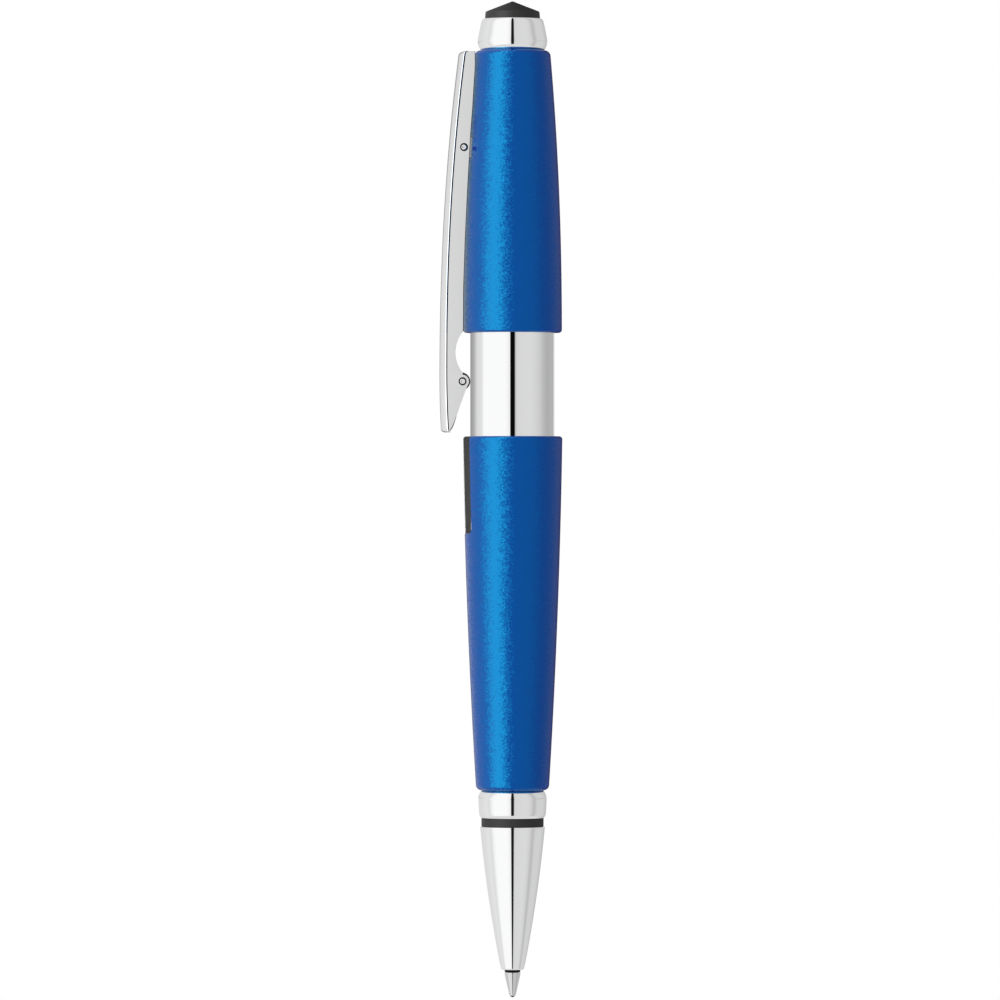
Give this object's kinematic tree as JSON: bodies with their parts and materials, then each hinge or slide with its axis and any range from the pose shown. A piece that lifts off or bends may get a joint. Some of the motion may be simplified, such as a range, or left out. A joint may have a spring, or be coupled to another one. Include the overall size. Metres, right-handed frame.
{
  "type": "rollerball pen",
  "caption": "Capless telescoping rollerball pen: a nose cone and two tapered barrels slide on a bright centre sleeve, with a sprung roller clip and a flat cone finial.",
  "frame": {"origin": "the writing point: the lowest point of the writing ball, on the pen's axis, with the halves pulled apart and the refill out", "axes": "+Z along the pen's axis from the writing point to the end cap; the clip is on the -X side; +Y completes the right-handed frame"},
  "size_m": [0.0169, 0.0138, 0.137],
  "materials": {
    "chrome": "polished chrome plate",
    "chrome_sleeve": "polished chrome plate",
    "clip_chrome": "polished chrome plate, flat sides",
    "black_rubber": "satin",
    "brass": "turned",
    "blue_lacquer": "metallic lacquer with fine flake",
    "slot_lining": "matt",
    "plain_metal": "drawn tube",
    "spring_steel": "bright",
    "ball_carbide": "polished hard metal",
    "tip_steel": "turned stainless steel",
    "ivory_plastic": "moulded",
    "refill_plastic": "translucent",
    "ink": "wet",
    "follower_grease": "clear grease",
    "black_plastic": "moulded",
    "grey_plastic": "moulded",
    "black_gloss": "smooth satin",
    "roller_plastic": "moulded"
  },
  "bodies": {
    "lower_half": {"lower_barrel": "blue_lacquer", "slot_liner": "slot_lining", "front_collar": "chrome", "front_bush": "brass", "center_sleeve": "chrome_sleeve", "guide_tube": "plain_metal", "cam_retainer": "brass", "detent_ring": "spring_steel"},
    "nose_band": {"grip_band": "black_rubber"},
    "nose_cone": {"nose_cone": "chrome", "return_spring": "spring_steel"},
    "refill": {"refill_tube": "refill_plastic", "tip_holder": "ivory_plastic", "writing_tip": "tip_steel", "ink_column": "ink", "ink_follower": "follower_grease", "refill_end_plug": "black_plastic", "refill_pusher": "grey_plastic", "pusher_pin": "spring_steel"},
    "writing_ball": {"writing_ball": "ball_carbide"},
    "cam": {"cam_sleeve": "brass"},
    "upper_half": {"upper_barrel": "blue_lacquer", "upper_liner": "plain_metal", "drive_pins": "spring_steel", "rim_bush": "black_plastic", "end_cap": "chrome", "cap_nut": "brass", "finial": "black_gloss", "clip_bracket": "plain_metal", "clip_pivot_pin": "chrome", "clip_spring": "spring_steel"},
    "clip": {"clip": "clip_chrome", "roller_pin": "chrome"},
    "clip_roller": {"clip_roller": "roller_plastic"}
  },
  "joints": [
    {"name": "upper_slide", "type": "slide", "parent": "lower_half", "child": "upper_half", "axis": [0, 0, 1], "range_m": [-0.0142, 0]},
    {"name": "cam_spin", "type": "hinge", "parent": "lower_half", "child": "cam", "pos_m": [0, 0, 0.0958], "axis": [0, 0, 1], "range_deg": [0, 150.01]},
    {"name": "refill_slide", "type": "slide", "parent": "lower_half", "child": "refill", "axis": [0, 0, 1], "range_m": [0, 0.0045], "deforming": ["return_spring"]},
    {"name": "ball_spin", "type": "hinge", "parent": "refill", "child": "writing_ball", "pos_m": [0, 0, 0.00035], "axis": [0, 1, 0], "continuous": true},
    {"name": "clip_pivot", "type": "hinge", "parent": "upper_half", "child": "clip", "pos_m": [-0.00717, 0, 0.1168], "axis": [0, 1, 0], "range_deg": [0, 2], "stiffness_Nm_per_rad": 0.2, "springref_deg": -14.32},
    {"name": "roller_spin", "type": "hinge", "parent": "clip", "child": "clip_roller", "pos_m": [-0.00738, 0, 0.08468], "axis": [0, 1, 0], "continuous": true},
    {"name": "nose_travel", "type": "slide", "parent": "lower_half", "child": "nose_band", "axis": [0, 0, 1], "range_m": [-0.0032, 0]},
    {"name": "nose_turn", "type": "hinge", "parent": "nose_band", "child": "nose_cone", "pos_m": [0, 0, 0.0135], "axis": [0, 0, 1], "range_deg": [-1440.1, 0]}
  ],
  "couplings": [
    {"joint": "cam_spin", "follows": "upper_slide", "rad_per_m": -184.37},
    {"joint": "refill_slide", "follows": "upper_slide", "ratio": -0.3169},
    {"joint": "nose_turn", "follows": "nose_travel", "rad_per_m": 7854}
  ]
}
